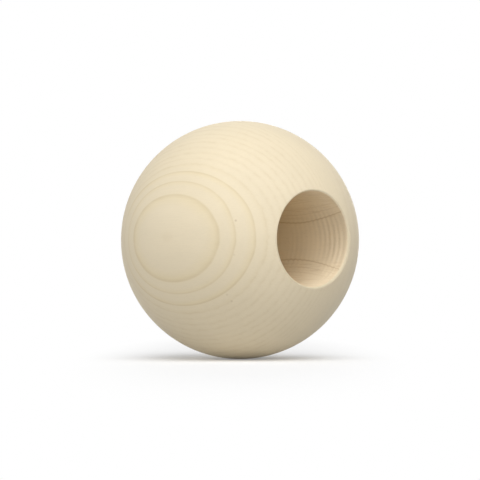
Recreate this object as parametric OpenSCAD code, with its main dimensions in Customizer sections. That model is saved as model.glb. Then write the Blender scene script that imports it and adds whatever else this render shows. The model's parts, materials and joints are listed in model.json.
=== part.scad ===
// Ball cap for the end of a wooden dowel: a turned ball with one blind, round hole.
// Millimetres, +Z up. The origin is the middle of the hole's flat floor, where the end of
// the dowel seats, and +X runs up the hole and out of its mouth.

/* [Ball] */
// Diameter of the turned ball
ball_d = 50.8; // [44:0.1:80]

/* [Dowel hole] */
// Diameter of the dowel that the cap fits
dowel_d = 19.05; // [6:0.05:26]
// Room for glue and for a dowel that runs over size, on every side of it
glue_gap = 0.4; // [0.05:0.05:0.5]
// Drilled depth, from the crown of the undrilled ball down to the flat floor
hole_depth = 25.4; // [14:0.1:36]
// Width of the small bevel that eases the edge of the mouth, at 45 degrees
mouth_bevel = 0.3; // [0.2:0.1:1.5]

/* [Drill point] */
// Width of the small pit that the drill's centre point leaves in the floor
point_d = 3; // [1:0.5:5]
// Depth of that pit below the floor
point_depth = 1.5; // [0.5:0.25:3]

/* [Hidden] */
$fn = 128;

ball_r = ball_d / 2;
hole_r = dowel_d / 2 + glue_gap;
// Height of the ball's middle above the floor of the hole
mid_h = hole_depth - ball_r;
// Where the bevel meets the face of the ball
bevel_r = hole_r + mouth_bevel;
bevel_h = mid_h + sqrt(ball_r ^ 2 - bevel_r ^ 2);
// How far the cutting shapes reach past what they cut
past = 1;

// The sections below are half sections: X is the distance from the hole's axis and
// Y is the height above its floor.

module ball_section() {
    intersection() {
        translate([0, mid_h])
            circle(r = ball_r);
        translate([0, mid_h - ball_r - past])
            square([ball_r + past, ball_d + 2 * past]);
    }
}

// Straight wall and flat floor, with the pit of the drill's point
module hole_section() {
    square([hole_r, hole_depth + past]);
    polygon([[0, past], [point_d / 2, past], [point_d / 2, 0], [0, -point_depth]]);
}

// The corner that the bevel takes off, drawn past the wall on one side and past the ball
// on the other
module bevel_section() {
    inner = mouth_bevel + past;
    polygon([
        [0, bevel_h - inner],
        [bevel_r - inner, bevel_h - inner],
        [bevel_r + past, bevel_h + past],
        [0, bevel_h + past]
    ]);
}

module turned_ball() {
    color([0.91, 0.84, 0.71])
        rotate([0, 90, 0])
            rotate_extrude()
                difference() {
                    ball_section();
                    hole_section();
                    bevel_section();
                }
}

turned_ball();
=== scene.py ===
"""Looks of the wooden ball cap: one turned ball of pale hardwood with a blind hole for a dowel.

Metres, in the frame of the CAD part: the origin is the middle of the hole's flat floor, +X runs out
of the mouth and +Z is up. One piece, turned_ball_wood, stands for the CAD solid turned_ball. The
wood's own values are in millimetres, as a comment there says.
"""
import json
import math

import bpy
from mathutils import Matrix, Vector

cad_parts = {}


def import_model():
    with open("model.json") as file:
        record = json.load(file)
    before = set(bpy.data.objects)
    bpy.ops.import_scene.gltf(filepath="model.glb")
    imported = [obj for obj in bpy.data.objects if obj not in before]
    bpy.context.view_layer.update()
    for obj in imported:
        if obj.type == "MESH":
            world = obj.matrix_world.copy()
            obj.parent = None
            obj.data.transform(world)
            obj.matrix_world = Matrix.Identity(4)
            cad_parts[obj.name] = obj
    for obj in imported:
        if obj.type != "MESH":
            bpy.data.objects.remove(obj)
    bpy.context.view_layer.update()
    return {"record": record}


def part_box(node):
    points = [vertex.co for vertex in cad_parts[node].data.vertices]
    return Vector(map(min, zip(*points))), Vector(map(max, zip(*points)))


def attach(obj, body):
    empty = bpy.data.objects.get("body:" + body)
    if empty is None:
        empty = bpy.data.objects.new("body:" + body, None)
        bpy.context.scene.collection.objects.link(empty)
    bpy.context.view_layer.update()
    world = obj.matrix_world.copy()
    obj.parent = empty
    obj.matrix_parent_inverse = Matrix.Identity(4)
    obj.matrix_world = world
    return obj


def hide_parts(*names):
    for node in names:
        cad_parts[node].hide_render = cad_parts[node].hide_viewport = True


MM = 0.001


def link(obj):
    bpy.context.scene.collection.objects.link(obj)
    return obj


# ---------------------------------------------------------------- form

MOUTH_ROUND = 0.26 * MM         # radius of the sanded edge of the mouth, where it is sharpest
MOUTH_UNEVEN = 0.24 * MM        # and what is added to it where the mouth is roundest
MOUTH_ROUNDEST = -20            # degrees from +Y towards +Z, round the hole's axis
POINT_WIDTH = 3.0 * MM          # pit of the drill's centre point, in the floor of the hole
POINT_DEPTH = 1.5 * MM
FEED_PITCH = 1.47 * MM          # the drill's feed marks on the wall of the hole
FEED_START = 8.31 * MM          # height of one of them above the floor of the hole, on the +Y side
FEED_DEPTH = 0.05 * MM
FEED_SWELL = 0.3                # share of that depth by which they swell and sink
FEED_BEAT = 2.3 * MM            # how far up the wall one radian of that swell reaches
FEED_FADE = 7.0 * MM            # they fade in over this far above the floor of the hole
FEED_END = 1.0 * MM             # and out over this far below the mouth
AROUND = 256                    # steps round the hole's axis
FLOOR_STEPS = 8                 # steps across the floor of the hole, up its wall, round the edge of
WALL_STEPS = 230                # its mouth and over the ball
MOUTH_STEPS = 12
BALL_STEPS = 120
SHARP_ANGLE = 40                # degrees at which an edge stays sharp


def arc(middle, radius, start, end, steps):
    """Points (x, r) of an arc in the half section, angles in degrees from +X."""
    x, r = middle
    turns = [math.radians(start + (end - start) * i / steps) for i in range(steps + 1)]
    return [(x + radius * math.cos(t), r + radius * math.sin(t)) for t in turns]


def feed_mark(x, turn, wall_end):
    """How far the drill's feed marks cut into the wall at a place along the hole."""
    wave = math.cos(2 * math.pi * (x - FEED_START) / FEED_PITCH + turn)
    swell = 1 - FEED_SWELL + FEED_SWELL * math.sin(x / FEED_BEAT + 2 * turn)
    fade = min(1, (wall_end - x) / FEED_END, x / FEED_FADE)
    return FEED_DEPTH * swell * fade * (0.5 + 0.5 * wave)


def half_section(turn, ball_r, ball_mid, hole_r):
    """The outline at one turn, from the pit in the hole's floor out of the mouth to the back."""
    # From 0, where the mouth is sharpest, to 1, where it is roundest
    uneven = 0.5 + 0.5 * math.cos(turn - math.radians(MOUTH_ROUNDEST))
    mouth = MOUTH_ROUND + MOUTH_UNEVEN * uneven ** 2
    round_r = hole_r + mouth
    round_x = ball_mid + math.sqrt((ball_r - mouth) ** 2 - round_r ** 2)
    meets = math.degrees(math.atan2(round_r, round_x - ball_mid))
    pit_r = POINT_WIDTH / 2
    floor = [hole_r * k / FLOOR_STEPS for k in range(FLOOR_STEPS)]
    section = [(0.0, pit_r)] + [(0.0, r) for r in floor if r > pit_r]
    for k in range(WALL_STEPS):
        x = round_x * k / WALL_STEPS
        section.append((x, hole_r + feed_mark(x, turn, round_x)))
    section += arc((round_x, round_r), mouth, -90, meets, MOUTH_STEPS)
    section += arc((ball_mid, 0), ball_r, meets, 180, BALL_STEPS)[1:-1]
    return section


def ball_mesh(ball_r, ball_mid, hole_r):
    """The half section turned round the hole's axis, closed by a point at each end."""
    verts = [(-POINT_DEPTH, 0, 0), (ball_mid - ball_r, 0, 0)]
    columns = []
    for k in range(AROUND):
        turn = 2 * math.pi * k / AROUND
        section = half_section(turn, ball_r, ball_mid, hole_r)
        columns.append(range(len(verts), len(verts) + len(section)))
        verts += [(x, r * math.cos(turn), r * math.sin(turn)) for x, r in section]
    faces = []
    for k, here in enumerate(columns):
        there = columns[(k + 1) % AROUND]
        faces.append((0, here[0], there[0]))
        for i in range(len(here) - 1):
            faces.append((here[i], here[i + 1], there[i + 1], there[i]))
        faces.append((here[-1], 1, there[-1]))
    mesh = bpy.data.meshes.new("turned_ball_wood")
    mesh.from_pydata(verts, [], faces)
    for polygon in mesh.polygons:
        polygon.use_smooth = True
    mesh.set_sharp_from_angle(angle=math.radians(SHARP_ANGLE))
    return mesh


def turned_ball(ball_r, ball_mid, hole_r):
    ball = link(bpy.data.objects.new("turned_ball_wood", ball_mesh(ball_r, ball_mid, hole_r)))
    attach(ball, "root")
    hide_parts("turned_ball")
    return ball


# ---------------------------------------------------------------- node trees

class Nodes:
    """A small helper that writes a node tree as plain formulas."""

    def __init__(self, tree):
        self.tree = tree
        tree.nodes.clear()

    def add(self, kind, **settings):
        node = self.tree.nodes.new(kind)
        for key, value in settings.items():
            setattr(node, key, value)
        return node

    def feed(self, socket, value):
        if isinstance(value, bpy.types.NodeSocket):
            self.tree.links.new(value, socket)
        else:
            socket.default_value = value

    def fill(self, node, *values):
        for socket, value in zip(node.inputs, values):
            self.feed(socket, value)
        return node.outputs[0]

    def math(self, operation, *values):
        return self.fill(self.add("ShaderNodeMath", operation=operation), *values)

    def plus(self, total, *values):
        for value in values:
            total = self.math("ADD", total, value)
        return total

    def minus(self, a, b):
        return self.math("SUBTRACT", a, b)

    def times(self, product, *values):
        for value in values:
            product = self.math("MULTIPLY", product, value)
        return product

    def madd(self, a, b, c):
        """a times b, plus c."""
        return self.math("MULTIPLY_ADD", a, b, c)

    def length(self, a, b):
        """Length of the vector with the two parts a and b."""
        return self.math("SQRT", self.madd(a, a, self.times(b, b)))

    def ramp(self, value, low, high, to_low=0.0, to_high=1.0, smooth=True):
        """The value moved from the range low to high into the range to_low to to_high."""
        kind = "SMOOTHSTEP" if smooth else "LINEAR"
        node = self.add("ShaderNodeMapRange", interpolation_type=kind)
        return self.fill(node, value, low, high, to_low, to_high)

    def fade(self, value, low, high):
        """1 below the range low to high and 0 above it."""
        return self.ramp(value, low, high, 1.0, 0.0)

    def between(self, value, first, second):
        """1 between two ranges, and 0 below the first and above the second."""
        return self.times(self.ramp(value, *first), self.fade(value, *second))

    def vector(self, x, y, z):
        return self.fill(self.add("ShaderNodeCombineXYZ"), x, y, z)

    def measure(self, operation, a, b):
        """A number from two vectors."""
        node = self.add("ShaderNodeVectorMath", operation=operation)
        self.fill(node, a, b)
        return node.outputs["Value"]

    def dot(self, a, b):
        return self.measure("DOT_PRODUCT", a, b)

    def distance(self, a, b):
        return self.measure("DISTANCE", a, b)

    def noise(self, where, detail, roughness):
        """Soft noise from 0 to 1, with features about one unit wide."""
        node = self.add("ShaderNodeTexNoise")
        self.feed(node.inputs["Vector"], where)
        node.inputs["Scale"].default_value = 1.0
        node.inputs["Detail"].default_value = detail
        node.inputs["Roughness"].default_value = roughness
        return node.outputs["Fac"]

    def cells(self, where):
        """Distance to the middle of the nearest of scattered cells about one unit wide."""
        node = self.add("ShaderNodeTexVoronoi")
        self.feed(node.inputs["Vector"], where)
        node.inputs["Scale"].default_value = 1.0
        return node.outputs["Distance"]

    def each(self, number):
        """A random value from 0 to 1 for each whole number."""
        node = self.add("ShaderNodeTexWhiteNoise", noise_dimensions="1D")
        self.feed(node.inputs["W"], self.math("FLOOR", number))
        return node.outputs["Value"]

    def curve(self, value, points):
        """A line through given points, each (input, output) from 0 to 1."""
        node = self.add("ShaderNodeFloatCurve")
        line = node.mapping.curves[0].points
        while len(line) < len(points):
            line.new(0.5, 0.5)
        for spot, at in zip(line, points):
            spot.location = at
            spot.handle_type = "VECTOR"
        node.mapping.update()
        self.feed(node.inputs["Value"], value)
        return node.outputs[0]

    def mix(self, factor, a, b):
        node = self.add("ShaderNodeMix", data_type="RGBA")
        self.feed(node.inputs[0], factor)
        self.feed(node.inputs[6], a)
        self.feed(node.inputs[7], b)
        return node.outputs[2]


# ---------------------------------------------------------------- wood: how the ball lay in the tree
# Millimetres and radians, here and in the rest of the wood. A pair is a range over which a look
# comes or goes. Depth counts from the ball's face that looks at the pith, the middle of the tree.
# Height counts upwards from the pith, and along counts down the fibres towards the mouth.

FIBRE_TURN = 0.227              # turn of the fibres from the hole's axis, about +Z
PITH_DISTANCE = 56.0            # from the ball's middle to the middle of the tree
PITH_HEIGHT = 0.10
FIBRE_RISE = 0.017              # rise of the fibres along the ball, as a slope
RING_FAN = -0.0087              # how the rings draw together along the fibres, per millimetre
RING_BOW = -0.003               # bow of the rings along the fibres, per millimetre
DEEP_SWING = 0.27               # slope of the rings along the fibres as deep as the ball's middle
SWING_GROWTH = 4.0              # power of the depth with which that slope grows
MOST_SWING = 0.45               # and the most that it comes to
BALL_R = 25.4                   # radius of the ball


class Grain:
    """Where a place lies in the tree and in the part."""

    def __init__(self, n):
        self.n = n
        scale = n.add("ShaderNodeVectorMath", operation="SCALE")
        n.feed(scale.inputs[0], n.add("ShaderNodeTexCoord").outputs["Object"])
        scale.inputs["Scale"].default_value = 1 / MM
        self.place = scale.outputs[0]
        self.fibre = (math.cos(FIBRE_TURN), math.sin(FIBRE_TURN), 0.0)
        inward = (math.sin(FIBRE_TURN), -math.cos(FIBRE_TURN), 0.0)
        self.x = n.dot(self.place, (1.0, 0.0, 0.0))
        y = n.dot(self.place, (0.0, 1.0, 0.0))
        z = n.dot(self.place, (0.0, 0.0, 1.0))
        self.from_axis = n.length(y, z)
        self.turn = n.math("ARCTAN2", z, y)
        self.along = n.dot(self.place, self.fibre)
        self.height = n.minus(z, n.madd(self.along, FIBRE_RISE, PITH_HEIGHT))
        self.off_level = n.math("ABSOLUTE", self.height)
        bow = n.times(self.along, self.along, RING_BOW)
        off = n.minus(PITH_DISTANCE, n.plus(bow, n.dot(self.place, inward)))
        self.round = n.times(n.math("ARCTAN2", self.height, off), PITH_DISTANCE)
        plain = n.minus(n.length(self.height, off), PITH_DISTANCE - BALL_R)
        share = n.math("ABSOLUTE", n.times(plain, 1 / BALL_R))
        growth = n.math("POWER", share, SWING_GROWTH)
        swing = n.math("MINIMUM", n.times(growth, DEEP_SWING), MOST_SWING)
        fanned = n.times(plain, n.madd(self.along, RING_FAN, 1.0))
        self.depth = n.madd(self.along, swing, fanned)

    def stretched(self, along, depth, around):
        """The place for a texture, with how many of its features there are per millimetre."""
        n = self.n
        return n.vector(n.times(self.along, along), n.times(self.depth, depth), n.times(self.round, around))

    def noise(self, features, detail, roughness):
        return self.n.noise(self.stretched(*features), detail, roughness)

    def cells(self, features):
        return self.n.cells(self.stretched(*features))


# ---------------------------------------------------------------- wood: growth rings

# Depth of each dark ring line
RING_DEPTHS = (
    2.98, 4.7, 6.85, 8.5, 9.9, 11.4, 13.0, 14.8, 16.4, 18.0, 20.4, 22.6, 24.6,
    26.6, 28.4, 30.0, 31.2, 32.2, 33.25, 33.9, 34.58, 36.8, 38.8, 41.0,
)
RING_STEP = 1.9                 # and from there on
# Each texture has its features per millimetre along the fibres, across the rings and along the
# rings, and a noise also has its detail and roughness
SWAY_NOISE = ((0.05, 0.10, 0.12), 2.0, 0.5)
WIGGLE_NOISE = ((0.5, 0.3, 0.6), 2.0, 0.6)
MOTTLE_NOISE = ((0.16, 0.25, 0.3), 2.0, 0.6)
BLOTCH_NOISE = ((0.35, 0.5, 0.6), 2.0, 0.6)
NOISE_SPREAD = (0.3, 0.7)       # where nearly all of a noise's values lie
# Waves of the rings, in millimetres of depth
SWAY = 0.3                      # slow
WIGGLE = 0.9                    # quick, and only in the rings past the first three
WIGGLE_STARTS = (7.0, 9.0)
WAVES_END = (26.0, 32.0)        # deeper rings run straight
DRAWN_IN = 0.22                 # the first two rings are drawn in level with the pith
DRAWN_IN_HEIGHT = (2.5, 8.0)
DRAWN_IN_ALONG = (-3.0, 3.0)    # on the side of the mouth
DRAWN_IN_DEPTH = ((1.5, 4.4), (5.2, 6.8))
DRAWN_OUT = 0.25                # and the second is drawn out at its top
DRAWN_OUT_HEIGHT = (5.0, 12.0)
DRAWN_OUT_DEPTH = ((3.2, 4.4), (5.0, 6.4))
LEAN = -0.019                   # slope of the deep rings with height
LEAN_DEPTH = (30.0, 33.0)
# What a ring looks like from one side to the other, as (share of its width, strength). Its dark
# line is at 0.95.
LATE_WOOD_CURVE = ((0, 0), (0.5, 0), (0.8, 0.6), (0.95, 1), (1, 0))
LINE_CURVE = ((0, 0.3), (0.03, 0), (0.8, 0), (0.89, 0.5), (0.95, 1), (1, 0.3))
BLURRED_CURVE = ((0, 0.55), (0.15, 0.15), (0.4, 0), (0.65, 0.25), (0.9, 1), (1, 0.55))
# Strength of the rings
FIRST_RINGS = (3.0, 4.2)        # number of the ring where crisp lines give way to blurred ones
FIRST_CRISP = 1.15              # strength of the crisp lines before that
FAR_SIDE = (43.0, 48.0)         # depth past which they are crisp again, on the ball's far side
RING_BY_RING = (0.7, 1.0)       # least and most, from ring to ring
MOTTLED = (0.6, 1.1)            # from place to place
BLOTCHES = (0.35, 0.65)         # noise values over which the blurred lines come and go
BLOTCHED = (0.45, 1.1)
FAINT_END = 0.8                 # how much fainter the rings are at the fibres' end far from the mouth
FAINT_ALONG = (-19.0, -9.0)
FAINT_DEPTH = (22.0, 32.0)
DEEP_BLUR = (20.0, 32.0)        # depth over which the blurred lines fall to half
DEEP_BLUR_LEFT = 0.5


def wavy_depth(n, grain):
    """The depth that the rings follow, with their waves in it. The middle of a noise is 0.5."""
    sway = n.minus(grain.noise(*SWAY_NOISE), 0.5)
    wiggle = n.minus(grain.noise(*WIGGLE_NOISE), 0.5)
    drawn_in = n.times(
        n.fade(grain.off_level, *DRAWN_IN_HEIGHT),
        n.ramp(grain.along, *DRAWN_IN_ALONG),
        n.between(grain.depth, *DRAWN_IN_DEPTH),
    )
    drawn_out = n.times(n.ramp(grain.height, *DRAWN_OUT_HEIGHT), n.between(grain.depth, *DRAWN_OUT_DEPTH))
    return n.plus(
        grain.depth,
        n.times(drawn_in, DRAWN_IN),
        n.times(drawn_out, -DRAWN_OUT),
        n.times(sway, n.fade(grain.depth, *WAVES_END), SWAY),
        n.times(wiggle, n.between(grain.depth, WIGGLE_STARTS, WAVES_END), WIGGLE),
        n.times(grain.height, n.ramp(grain.depth, *LEAN_DEPTH), LEAN),
    )


def ring_count(n, depth):
    """A whole number at each dark ring line, more with depth, and evenly between them."""
    starts = (0.0, *RING_DEPTHS[:-1])
    listed = [n.ramp(depth, *ring, smooth=False) for ring in zip(starts, RING_DEPTHS)]
    beyond = n.math("MAXIMUM", n.minus(depth, RING_DEPTHS[-1]), 0.0)
    return n.plus(*listed, n.times(beyond, 1 / RING_STEP))


def ring_strengths(n, grain, rings):
    """How strong the crisp (first) and the blurred (second) ring lines are at a place."""
    mottle = grain.noise(*MOTTLE_NOISE)
    blotches = n.ramp(grain.noise(*BLOTCH_NOISE), *BLOTCHES, *BLOTCHED)
    faint = n.times(n.ramp(grain.along, *FAINT_ALONG, FAINT_END, 0.0), n.fade(grain.depth, *FAINT_DEPTH))
    strength = n.times(
        n.ramp(n.each(rings), 0.0, 1.0, *RING_BY_RING, smooth=False),
        n.ramp(mottle, *NOISE_SPREAD, *MOTTLED, smooth=False),
        n.minus(1.0, faint),
    )
    far_side = n.ramp(grain.depth, *FAR_SIDE)
    near_pith = n.ramp(rings, *FIRST_RINGS, FIRST_CRISP, 0.0)
    crisp = n.times(n.plus(near_pith, far_side), strength)
    blurred = n.times(
        n.ramp(rings, *FIRST_RINGS),
        n.minus(1.0, far_side),
        n.ramp(grain.depth, *DEEP_BLUR, 1.0, DEEP_BLUR_LEFT),
        blotches,
        strength,
    )
    return crisp, blurred


# ---------------------------------------------------------------- wood: the drilled hole

BORE_EDGE = (0.075, 0.175)      # how far past the hole's radius the drilled wall ends
BORE_FLOOR = (-3.0, -2.0)       # it starts below the pit in the floor
RIM_EDGE = (0.325, 0.525)       # how far past the hole's radius the painted shade at the mouth's edge reaches
RIM_START = (-0.3, 0.1)         # where it starts, counted from the end of the hole's length
RIM_HEIGHT = (-3.0, 4.0)        # it thins out towards the top
RIM_TOP = 0.15
FEED_SHOWS = (3.0, 8.0)         # the feed marks' painted shade starts this far above the floor of the hole
FEED_LEVEL = (3.5, 6.5)         # and nearly ends this far above and below the pith
FEED_LEAST = 0.1
# Painted light on the drilled wall: how much lighter it is, as a range of places and the lightness before
# and after it
PAINTED_LIGHT_BY_HEIGHT = ((3.0, 9.5, 0.0, 0.17), (-9.0, -4.0, 0.06, 0.0))
PAINTED_LIGHT_BY_RISE = ((10.0, 16.0, 0.03, -0.02), (18.0, 22.0, 0.0, 0.06))  # above the hole's floor


def moved(span, by):
    """A range moved by a distance."""
    return [end + by for end in span]


def drilled_wall(n, grain, hole_r):
    """1 on the wall and floor of the hole."""
    return n.times(n.fade(grain.from_axis, *moved(BORE_EDGE, hole_r)), n.ramp(grain.x, *BORE_FLOOR))


def painted_rim_shade(n, grain, hole_r, hole_length):
    """How much painted shade shows at the edge of the mouth, strongest towards its bottom."""
    return n.times(
        n.fade(grain.from_axis, *moved(RIM_EDGE, hole_r)),
        n.ramp(grain.x, *moved(RIM_START, hole_length)),
        n.ramp(grain.height, *RIM_HEIGHT, 1.0, RIM_TOP),
    )


def painted_feed_shade(n, grain, drilled):
    """Painted shade in a wave with the feed marks cut into the wall, darker on the side of each mark that
    turns from the light.
    """
    wave = n.madd(n.minus(grain.x, FEED_START / MM), 2 * math.pi * MM / FEED_PITCH, grain.turn)
    beat = n.madd(grain.x, MM / FEED_BEAT, n.times(grain.turn, 2.0))
    return n.times(
        n.math("SINE", wave),
        n.madd(n.math("SINE", beat), FEED_SWELL, 1 - FEED_SWELL),
        n.ramp(grain.x, *FEED_SHOWS),
        drilled,
        n.ramp(grain.off_level, *FEED_LEVEL, 1.0, FEED_LEAST),
    )


def painted_wall_light(n, grain):
    """Painted light on the drilled wall: how much lighter than its plain colour it is, by height and by
    distance above the hole's floor.
    """
    by_height = [n.ramp(grain.height, *step) for step in PAINTED_LIGHT_BY_HEIGHT]
    by_rise = [n.ramp(grain.x, *step) for step in PAINTED_LIGHT_BY_RISE]
    return n.plus(*by_height, *by_rise)


# ---------------------------------------------------------------- wood: marks and material

# Small dark pin marks: where each is on the ball and how dark, some on the sides not in the photo
PIN_MARKS = (
    (18.49, -17.03, 3.61, 0.55), (15.46, -15.54, -12.84, 0.4), (18.3, -17.29, -3.34, 0.2),
    (15.36, -16.66, -11.48, 0.25), (-19.0, 15.5, 6.5, 0.4), (-9.0, 2.0, 23.7, 0.3),
    (-22.0, -9.0, -9.0, 0.35),
)
PIN_RADIUS = 0.24
PIN_DARK = (0.3 * PIN_RADIUS, 1.5 * PIN_RADIUS)
PIN_HALO = (1.2 * PIN_RADIUS, 4 * PIN_RADIUS)
PAINTED_SHADE_SPOT = (21.8, -7.4, 10.7)   # middle of a broad spot of painted shade on the ball just above the mouth
PAINTED_SHADE_REACH = (2.0, 15.0)       # it fades out over this far from there

FIBRE_NOISE = ((0.07, 2.6, 2.6), 3.0, 0.6)
STREAK_NOISE = ((0.10, 2.0, 2.0), 2.0, 0.55)
CLOUD_NOISE = ((0.03, 0.09, 0.09), 2.0, 0.55)
PORE_CELLS = (0.45, 4.2, 4.2)
FLECK_CELLS = (0.9, 0.22, 3.0)
STREAKS = (0.52, 0.68)          # noise values over which a streak starts
STREAKS_HEIGHT = (3.0, 5.5)     # streaks start this far above and below the pith
PORE_SIZE = (0.10, 0.26)        # in widths of a cell
FLECK_SIZE = (0.14, 0.30)
END_GRAIN_FROM = (0.75, 1.0)    # how squarely the fibres meet the surface, from 0 to 1
FULL_LINES = (33.95, 34.25)     # depth past which the hole's ring lines have their full strength
PALE_LINES = 0.4                # strength of those before that

# Colours of the wood, as linear red, green, blue and alpha
BODY = (0.765, 0.664, 0.482, 1)
LATE_WOOD = (0.750, 0.635, 0.415, 1)
RING_LINE = (0.66, 0.545, 0.350, 1)
BORE_LINE = (0.60, 0.47, 0.295, 1)
PORE = (0.50, 0.38, 0.22, 1)
FLECK = (0.64, 0.53, 0.35, 1)
END_GRAIN = (0.68, 0.57, 0.39, 1)
# the drilled wall's colour, lighter than the ball: fresh-cut wood, and partly painted light in the dim hole
DRILLED = (0.785, 0.668, 0.487, 1)
# painted shade at the mouth's edge, darker than the wood
RIM_SHADE = (0.64, 0.55, 0.385, 1)
PIN = (0.42, 0.30, 0.17, 1)
# How much of a look's colour shows where the look is strongest
CRISP_SHOWS = 0.75
BLURRED_SHOWS = 0.48
STREAKS_SHOW = 0.35
PORES_SHOW = 0.08
DRILLED_PORES_SHOW = 0.10       # and this much more on the drilled wall
FLECKS_SHOW = 0.10
END_GRAIN_SHOWS = 0.18
PINS_SHOW = 0.8
# How much lighter or darker a look makes the wood, where 1 is its plain lightness
FIBRES_LIGHTEN = 0.015
CLOUDS_LIGHTEN = 0.015
HALO_LIGHTENS = 0.02
# painted shade on one side of each feed mark
FEED_DARKENS = 0.04
# painted shade on the ball just above the mouth
PAINTED_SHADE_DARKENS = 0.045

ROUGH = (0.50, 0.62)            # roughness from one fibre to the next
ROUGH_SPREAD = (0.25, 0.75)     # and the noise values over which it changes
DRILLED_ROUGHER = 0.12
SPECULAR = 0.33
BUMP_STRENGTH = 0.35
BUMP_HEIGHT = 0.03 * MM         # in metres, as the shader takes it
FIBRES_STAND = 0.6              # share of that height by which the fibres stand up
PORES_SINK = 0.4                # and the pores sink


def pin_marks(n, grain):
    """Dark at the middle of a pin mark (first) and pale in the ring of wood round it (second)."""
    darks = []
    halos = []
    for *at, darkness in PIN_MARKS:
        far = n.distance(grain.place, at)
        darks.append(n.ramp(far, *PIN_DARK, darkness, 0.0))
        halos.append(n.ramp(far, *PIN_HALO, darkness, 0.0))
    return n.plus(*darks), n.plus(*halos)


def end_grain(n, grain):
    """How much the surface cuts across the fibres."""
    normal = n.add("ShaderNodeTexCoord").outputs["Normal"]
    return n.ramp(n.math("ABSOLUTE", n.dot(normal, grain.fibre)), *END_GRAIN_FROM)


def wood_lightness(n, grain, drilled, fibres, halos):
    """How light the wood is at a place, where 1 is its plain colour, with painted light in the hole and
    painted shade on the feed marks and just above the mouth.
    """
    clouds = grain.noise(*CLOUD_NOISE)
    on_ball = n.minus(1.0, drilled)
    to_painted_shade = n.distance(grain.place, PAINTED_SHADE_SPOT)
    return n.plus(
        n.ramp(fibres, *NOISE_SPREAD, 1 - FIBRES_LIGHTEN, 1 + FIBRES_LIGHTEN, smooth=False),
        n.ramp(clouds, *NOISE_SPREAD, -CLOUDS_LIGHTEN, CLOUDS_LIGHTEN, smooth=False),
        n.times(halos, HALO_LIGHTENS),
        # painted light on the drilled wall
        n.times(drilled, painted_wall_light(n, grain)),
        # painted shade with the feed marks
        n.times(painted_feed_shade(n, grain, drilled), -FEED_DARKENS),
        # painted shade on the ball just above the mouth
        n.times(on_ball, n.ramp(to_painted_shade, *PAINTED_SHADE_REACH, -PAINTED_SHADE_DARKENS, 0.0)),
    )


def sanded(n, fibres, pores, pins):
    """The normal of a soft sanded surface, with the fibres just standing."""
    bump = n.add("ShaderNodeBump")
    bump.inputs["Strength"].default_value = BUMP_STRENGTH
    bump.inputs["Distance"].default_value = BUMP_HEIGHT
    sunk = n.plus(n.times(pores, PORES_SINK), pins)
    n.feed(bump.inputs["Height"], n.minus(n.times(fibres, FIBRES_STAND), sunk))
    return bump.outputs["Normal"]


def pale_wood(hole_r, hole_length):
    """The whole ball's wood. The hole's radius and length are in millimetres."""
    material = bpy.data.materials.new("pale_wood")
    material.use_nodes = True
    n = Nodes(material.node_tree)
    grain = Grain(n)
    depth = wavy_depth(n, grain)
    rings = ring_count(n, depth)
    across = n.math("FRACT", rings)
    late_wood = n.curve(across, LATE_WOOD_CURVE)
    line = n.curve(across, LINE_CURVE)
    blurred_line = n.curve(across, BLURRED_CURVE)
    crisp, blurred = ring_strengths(n, grain, rings)
    full = n.ramp(depth, *FULL_LINES, PALE_LINES, 1.0)
    drilled = drilled_wall(n, grain, hole_r)
    on_ball = n.minus(1.0, drilled)
    fibres = grain.noise(*FIBRE_NOISE)
    streaks = n.ramp(grain.noise(*STREAK_NOISE), *STREAKS)
    streaks_lie = n.times(n.ramp(grain.off_level, *STREAKS_HEIGHT), drilled)
    pores = n.fade(grain.cells(PORE_CELLS), *PORE_SIZE)
    flecks = n.fade(grain.cells(FLECK_CELLS), *FLECK_SIZE)
    pins, halos = pin_marks(n, grain)

    # How much each look shows, and its colour, each over the ones before it
    looks = (
        # the drilled wall's colour, partly painted light
        (drilled, DRILLED),
        (n.times(late_wood, crisp, on_ball), LATE_WOOD),
        (n.times(line, crisp, on_ball, CRISP_SHOWS), RING_LINE),
        (n.times(blurred_line, blurred, on_ball, BLURRED_SHOWS), RING_LINE),
        (n.times(line, drilled, full), BORE_LINE),
        (n.times(streaks, streaks_lie, STREAKS_SHOW), BORE_LINE),
        (n.times(pores, n.madd(drilled, DRILLED_PORES_SHOW, PORES_SHOW)), PORE),
        (n.times(flecks, FLECKS_SHOW), FLECK),
        (n.times(end_grain(n, grain), END_GRAIN_SHOWS), END_GRAIN),
        # painted shade at the edge of the mouth
        (painted_rim_shade(n, grain, hole_r, hole_length), RIM_SHADE),
        (n.times(pins, PINS_SHOW), PIN),
    )
    colour = BODY
    for shows, look in looks:
        colour = n.mix(shows, colour, look)
    tone = n.add("ShaderNodeHueSaturation")
    n.feed(tone.inputs["Color"], colour)
    n.feed(tone.inputs["Value"], wood_lightness(n, grain, drilled, fibres, halos))

    rough = n.ramp(fibres, *ROUGH_SPREAD, *ROUGH, smooth=False)
    shader = n.add("ShaderNodeBsdfPrincipled")
    n.feed(shader.inputs["Base Color"], tone.outputs["Color"])
    n.feed(shader.inputs["Roughness"], n.madd(drilled, DRILLED_ROUGHER, rough))
    n.feed(shader.inputs["Normal"], sanded(n, fibres, pores, pins))
    shader.inputs["Specular IOR Level"].default_value = SPECULAR
    output = n.add("ShaderNodeOutputMaterial")
    n.feed(output.inputs["Surface"], shader.outputs[0])
    return material


# ---------------------------------------------------------------- stage, light and camera

# The camera looks at the ball's middle from far enough off for the photo's flat perspective
CAMERA_AZIMUTH = 49.35          # degrees, so that the hole points about 41 degrees to the right
CAMERA_ELEVATION = -0.8
CAMERA_DISTANCE = 508 * MM
CAMERA_REACH = 100              # metres, well past the edge of the floor
BALL_RADIUS_PX = 119.0          # radius of the ball's outline in a picture 480 wide
PICTURE_PX = 480
SENSOR_MM = 36.0

FLOOR_RADIUS = 30.0             # metres
FLOOR_SIDES = 64
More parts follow.
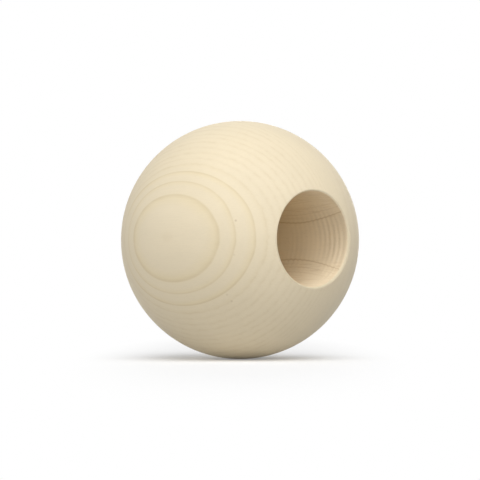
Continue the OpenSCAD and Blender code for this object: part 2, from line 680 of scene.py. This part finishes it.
# How much of its light the floor gives back to the ball: at its foot, round it and far off, and
# the ranges of distance, in metres, over which the one goes over into the next
BOUNCE = (0.95, 0.57, 0.33)
BOUNCE_NEAR = (0.008, 0.022)
BOUNCE_FAR = (0.05, 0.15)
FLOOR_SEEN = 0.92               # lightness of the floor's own surface in the picture
# How far the floor has faded to plain white for the camera, at the same places
WHITE = (0.22, 0.50, 1.0)
WHITE_NEAR = (0.006, 0.035)
WHITE_FAR = (0.035, 0.12)
FADE_ASIDE = 3.3                # the far fade is quicker to the sides of the photo's view
FADE_DEEP = 0.55                # and slower along it

# Soft white lamps a metre off: name, degrees round from the camera, degrees above level, width in
# metres, watts
LAMP_DISTANCE = 1.0
WIDE = 0.9
SMALL = 0.45
LAMPS = (
    ("front", 0, 10, WIDE, 5.05),
    ("key", 0, 58, WIDE, 6.47),
    ("right", 60, 40, WIDE, 4.1),
    ("left", -90, 20, WIDE, 3.5),
    ("back", 180, 50, WIDE, 0.5),
    ("low_back", 176, 0, SMALL, 3.2),
)


def seen_directly(n):
    """1 for camera, glossy and transmission rays, which see the white background."""
    path = n.add("ShaderNodeLightPath")
    seen = n.math("MAXIMUM", path.outputs["Is Camera Ray"], path.outputs["Is Glossy Ray"])
    return n.math("MAXIMUM", seen, path.outputs["Is Transmission Ray"])


def two_steps(n, away, spread, levels, near, far):
    """A value that steps from its first to its second and third level over two distances."""
    first = n.ramp(away, *near, levels[0] - levels[1], 0.0)
    return n.plus(first, n.ramp(spread, *far, levels[1], levels[2]))


def floor_material():
    material = bpy.data.materials.new("white_floor")
    material.use_nodes = True
    n = Nodes(material.node_tree)
    place = n.add("ShaderNodeNewGeometry").outputs["Position"]
    turn = math.radians(CAMERA_AZIMUTH)
    aside = n.dot(place, (math.cos(turn), math.sin(turn), 0.0))
    deep = n.dot(place, (-math.sin(turn), math.cos(turn), 0.0))
    away = n.length(aside, deep)
    spread = n.length(n.times(aside, FADE_ASIDE), n.times(deep, FADE_DEEP))
    seen = seen_directly(n)
    bounce = two_steps(n, away, away, BOUNCE, BOUNCE_NEAR, BOUNCE_FAR)
    grey = n.plus(n.times(seen, FLOOR_SEEN), n.times(n.minus(1.0, seen), bounce))
    lit = n.add("ShaderNodeBsdfDiffuse")
    n.feed(lit.inputs["Color"], n.vector(grey, grey, grey))
    glow = n.add("ShaderNodeEmission")
    white = two_steps(n, away, spread, WHITE, WHITE_NEAR, WHITE_FAR)
    mix = n.add("ShaderNodeMixShader")
    n.fill(mix, n.times(white, seen), lit.outputs[0], glow.outputs[0])
    output = n.add("ShaderNodeOutputMaterial")
    n.feed(output.inputs["Surface"], mix.outputs[0])
    return material


def stage(floor_z):
    turns = [2 * math.pi * k / FLOOR_SIDES for k in range(FLOOR_SIDES)]
    edge = [(FLOOR_RADIUS * math.cos(t), FLOOR_RADIUS * math.sin(t), floor_z) for t in turns]
    mesh = bpy.data.meshes.new("floor")
    mesh.from_pydata(edge, [], [tuple(range(FLOOR_SIDES))])
    mesh.materials.append(floor_material())
    floor = link(bpy.data.objects.new("floor", mesh))


def world():
    sky = bpy.data.worlds.new("studio")
    bpy.context.scene.world = sky
    sky.use_nodes = True
    n = Nodes(sky.node_tree)
    background = n.add("ShaderNodeBackground")
    background.inputs["Color"].default_value = (1, 1, 1, 1)
    n.feed(background.inputs["Strength"], seen_directly(n))
    output = n.add("ShaderNodeOutputWorld")
    n.feed(output.inputs["Surface"], background.outputs[0])


def look_from(obj, target, azimuth, elevation, distance):
    """Put a camera or lamp at a distance from the target and turn it to the target."""
    a, e = math.radians(azimuth), math.radians(elevation)
    back = Vector((math.sin(a) * math.cos(e), -math.cos(a) * math.cos(e), math.sin(e)))
    obj.location = target + back * distance
    obj.rotation_mode = "QUATERNION"
    obj.rotation_quaternion = (-back).to_track_quat("-Z", "Y")


def lamps(target):
    for name, turn, rise, width, power in LAMPS:
        light = bpy.data.lights.new(name, "AREA")
        light.shape = "DISK"
        light.size = width
        light.energy = power
        obj = link(bpy.data.objects.new(name, light))
        look_from(obj, target, CAMERA_AZIMUTH + turn, rise, LAMP_DISTANCE)


def camera(target, ball_r):
    data = bpy.data.cameras.new("camera")
    data.sensor_width = SENSOR_MM
    focal_px = BALL_RADIUS_PX * math.sqrt((CAMERA_DISTANCE / ball_r) ** 2 - 1)
    data.lens = focal_px / PICTURE_PX * SENSOR_MM
    data.clip_end = CAMERA_REACH
    obj = link(bpy.data.objects.new("camera", data))
    look_from(obj, target, CAMERA_AZIMUTH, CAMERA_ELEVATION, CAMERA_DISTANCE)
    bpy.context.scene.camera = obj


# ---------------------------------------------------------------- scene

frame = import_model()
low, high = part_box("turned_ball")
ball_r = (high.z - low.z) / 2
ball_mid = low.x + ball_r
middle = Vector((ball_mid, 0, 0))
hole = frame["record"]["mounts"][0]["dims"]
ball = turned_ball(ball_r, ball_mid, hole["r_mm"] * MM)
ball.data.materials.append(pale_wood(hole["r_mm"], hole["length_mm"]))
stage(-ball_r)
world()
lamps(middle)
camera(middle, ball_r)
bpy.context.scene.view_settings.view_transform = "Standard"
